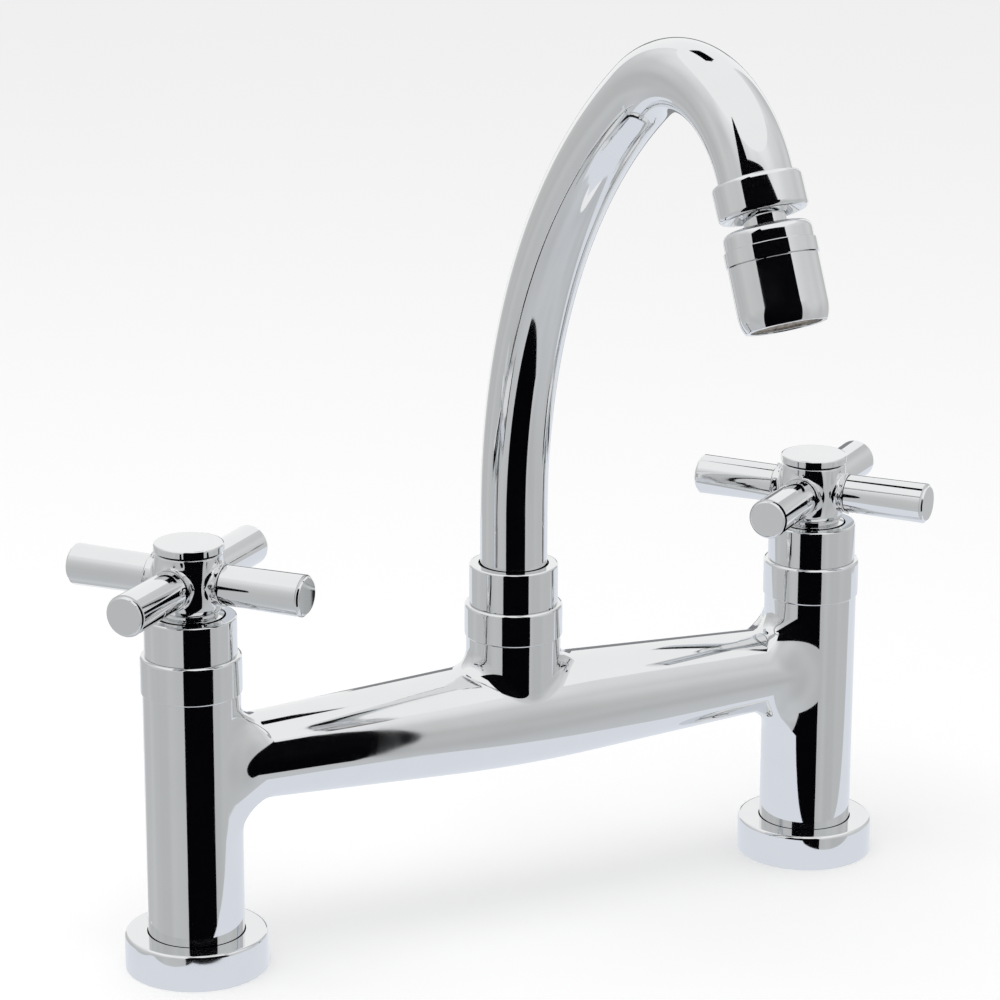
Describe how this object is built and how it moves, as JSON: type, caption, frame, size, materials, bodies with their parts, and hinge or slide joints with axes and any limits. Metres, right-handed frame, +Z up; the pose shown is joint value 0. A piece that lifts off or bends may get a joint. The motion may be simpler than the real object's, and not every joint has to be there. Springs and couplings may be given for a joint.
{
  "type": "bridge kitchen faucet",
  "caption": "Deck-mounted bridge kitchen tap with cross handles, a swivelling gooseneck spout and a ball-jointed outlet.",
  "frame": {"origin": "on the deck surface, midway between the two inlets", "axes": "+X along the bridge from the left inlet to the right one, -Y towards the sink, +Z up"},
  "size_m": [0.2672, 0.1787, 0.2729],
  "materials": {
    "chrome": "polished",
    "brass": "turned",
    "rubber": "matte",
    "ceramic": "lapped",
    "steel": "plain",
    "fibre": "matte",
    "plastic": "matte"
  },
  "bodies": {
    "tap_body": {"bridge_body": "chrome", "left_base_flange": "chrome", "left_deck_seal": "rubber", "left_headwork_body": "brass", "left_headwork_washer": "fibre", "left_fixed_disc": "ceramic", "left_valve_seat_seal": "rubber", "left_shroud_ring": "chrome", "left_shroud_sleeve": "chrome", "right_base_flange": "chrome", "right_deck_seal": "rubber", "right_headwork_body": "brass", "right_headwork_washer": "fibre", "right_fixed_disc": "ceramic", "right_valve_seat_seal": "rubber", "right_shroud_ring": "chrome", "right_shroud_sleeve": "chrome", "spout_trim_ring": "chrome", "spout_collar": "chrome", "spout_slip_washer": "plastic"},
    "left_handle": {"left_spindle": "brass", "left_spindle_o_rings": "rubber", "left_turning_disc": "ceramic", "left_spindle_clip": "steel", "left_handle_hub": "chrome", "left_handle_arms": "chrome", "left_handle_screw": "steel", "left_index_cap": "chrome"},
    "right_handle": {"right_spindle": "brass", "right_spindle_o_rings": "rubber", "right_turning_disc": "ceramic", "right_spindle_clip": "steel", "right_handle_hub": "chrome", "right_handle_arms": "chrome", "right_handle_screw": "steel", "right_index_cap": "chrome"},
    "spout": {"spout_tube": "chrome", "spout_spigot": "brass", "spout_o_rings": "rubber", "spout_split_ring": "steel", "spout_end_fitting": "brass", "swivel_nut": "chrome"},
    "swivel_seat": {"ball_seat": "plastic"},
    "aerator_head": {"ball_stem": "chrome", "outlet_cap": "chrome", "outlet_sleeve": "chrome", "stem_washer": "rubber", "aerator_body": "plastic", "aerator_washer": "rubber", "aerator_screen": "plastic"}
  },
  "joints": [
    {"name": "left_handle_turn", "type": "hinge", "parent": "tap_body", "child": "left_handle", "pos_m": [-0.1016, 0, 0.1158], "axis": [0, 0, 1], "range_deg": [0, 90]},
    {"name": "right_handle_turn", "type": "hinge", "parent": "tap_body", "child": "right_handle", "pos_m": [0.1016, 0, 0.1158], "axis": [0, 0, 1], "range_deg": [-90, 0]},
    {"name": "spout_swivel", "type": "hinge", "parent": "tap_body", "child": "spout", "pos_m": [0, 0, 0.0947], "axis": [0, 0, 1], "continuous": true},
    {"name": "aerator_swivel", "type": "hinge", "parent": "spout", "child": "swivel_seat", "pos_m": [0.00644, -0.12292, 0.23834], "axis": [0.0229, -0.4362, -0.8996], "continuous": true},
    {"name": "aerator_tilt", "type": "hinge", "parent": "swivel_seat", "child": "aerator_head", "pos_m": [0.00644, -0.12292, 0.23834], "axis": [0.9986, 0.0523, 0], "range_deg": [-17.5, 12.5]}
  ]
}
